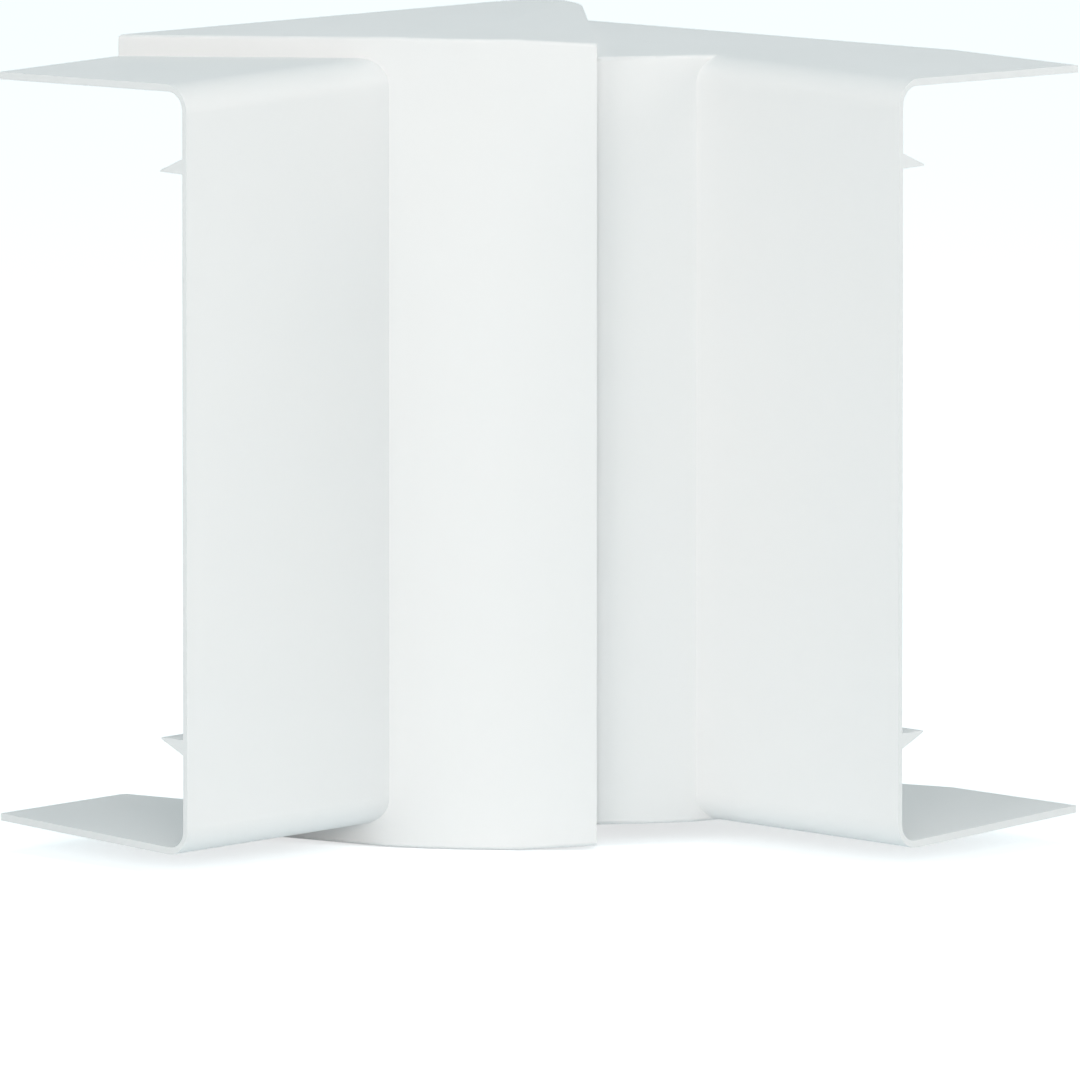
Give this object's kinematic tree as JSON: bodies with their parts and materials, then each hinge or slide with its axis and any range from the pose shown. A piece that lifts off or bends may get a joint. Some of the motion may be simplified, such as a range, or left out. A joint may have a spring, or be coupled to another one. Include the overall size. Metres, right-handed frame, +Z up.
{
  "type": "trunking internal corner",
  "caption": "Swivelling plastic hood that covers wide wall trunking where it turns an inside room corner, with snap hooks behind its open ends.",
  "frame": {"origin": "middle of the bounding box at its bottom", "axes": "+Z up along the room corner, -Y into the room, +X to the right of someone in the room facing the corner"},
  "size_m": [0.2764, 0.1396, 0.21],
  "materials": {
    "white_plastic": "satin white moulding"
  },
  "bodies": {
    "outer_half": {"outer_half": "white_plastic"},
    "inner_half": {"inner_half": "white_plastic"}
  },
  "joints": [
    {"name": "corner_swivel", "type": "hinge", "parent": "outer_half", "child": "inner_half", "pos_m": [0.00354, 0.11936, 0.105], "axis": [0, 0, 1], "range_deg": [-8, 8]}
  ]
}
